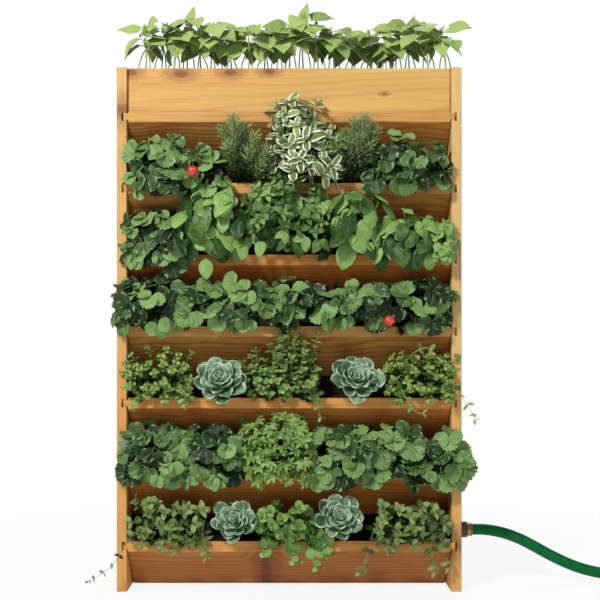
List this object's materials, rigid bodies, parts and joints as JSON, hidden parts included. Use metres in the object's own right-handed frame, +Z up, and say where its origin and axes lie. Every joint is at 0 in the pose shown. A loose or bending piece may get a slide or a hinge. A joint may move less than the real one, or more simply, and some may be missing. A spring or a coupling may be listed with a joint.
{
  "type": "vertical garden planter",
  "caption": "Freestanding vertical planter: side panels joined by slanted slats on sliding dovetails, open soil tiers planted with herbs and strawberries, drip watering, garden hose.",
  "frame": {"origin": "on the floor, midway between the outer faces of the side panels and midway between their front and rear edges", "axes": "+Z up, +X to the right seen from the planted front, +Y from the planted front to the back boards"},
  "size_m": [1.4751, 0.404, 1.2942],
  "materials": {
    "side_cedar": "oiled satin",
    "slat_cedar": "oiled satin",
    "back_cedar": "oiled satin",
    "soil": "matte crumbs",
    "black_plastic": "moulded satin",
    "pipe_plastic": "moulded satin",
    "drip_plastic": "extruded satin",
    "seal_rubber": "matte",
    "brass": "dull, weathered",
    "hose_green": "satin",
    "bean_leaves": "leafy",
    "strawberry_leaves": "leafy",
    "herb_leaves": "leafy",
    "dark_leaves": "leafy",
    "pale_leaves": "leafy",
    "echeveria_leaves": "waxy"
  },
  "bodies": {
    "planter": {"side_left": "side_cedar", "side_right": "side_cedar", "front_board": "side_cedar", "slat_1": "slat_cedar", "slat_2": "slat_cedar", "slat_3": "slat_cedar", "slat_4": "slat_cedar", "slat_5": "slat_cedar", "slat_6": "slat_cedar", "slat_7": "slat_cedar", "back_board_1": "back_cedar", "back_board_2": "back_cedar", "back_board_3": "back_cedar", "back_board_4": "back_cedar", "back_board_5": "back_cedar", "back_board_6": "back_cedar", "floor_board": "back_cedar", "soil": "soil", "inlet_fitting": "black_plastic", "inlet_washer": "seal_rubber", "inlet_locknut": "black_plastic", "inlet_seal": "seal_rubber", "inlet_elbow": "pipe_plastic", "riser_pipe": "pipe_plastic", "riser_tees": "pipe_plastic", "drip_lines": "drip_plastic", "pipe_caps": "pipe_plastic", "hose_coupling": "brass", "hose_run": "hose_green", "hose_coil": "hose_green", "hose_tail_collar": "brass", "hose_end_seal": "seal_rubber", "beans_left": "bean_leaves", "beans_middle": "bean_leaves", "beans_right": "bean_leaves", "strawberry_6_left": "strawberry_leaves", "rosemary_6_left": "dark_leaves", "sage_6": "pale_leaves", "rosemary_6_right": "dark_leaves", "strawberry_6_right": "strawberry_leaves", "strawberry_5": "strawberry_leaves", "basil_5_left": "herb_leaves", "balm_5": "herb_leaves", "basil_5_right": "herb_leaves", "strawberry_4_left": "strawberry_leaves", "strawberry_4_middle": "strawberry_leaves", "strawberry_4_right": "strawberry_leaves", "oregano_3_left": "pale_leaves", "echeverias_3": "echeveria_leaves", "thyme_3": "pale_leaves", "oregano_3_right": "herb_leaves", "strawberry_2_left": "strawberry_leaves", "parsley_2": "pale_leaves", "strawberry_2_right": "strawberry_leaves", "mint_1_left": "herb_leaves", "echeverias_1": "echeveria_leaves", "ivy_1": "dark_leaves", "mint_1_right": "herb_leaves"},
    "inlet_nut": {"inlet_nut": "black_plastic"},
    "hose_end_nut": {"hose_end_nut": "black_plastic"}
  },
  "joints": [
    {"name": "inlet_nut_turn", "type": "hinge", "parent": "planter", "child": "inlet_nut", "pos_m": [0.39, 0, 0.117], "axis": [1, 0, 0], "continuous": true},
    {"name": "end_nut_turn", "type": "hinge", "parent": "planter", "child": "hose_end_nut", "pos_m": [1.07, 0, 0.0182], "axis": [1, 0, 0], "continuous": true}
  ]
}
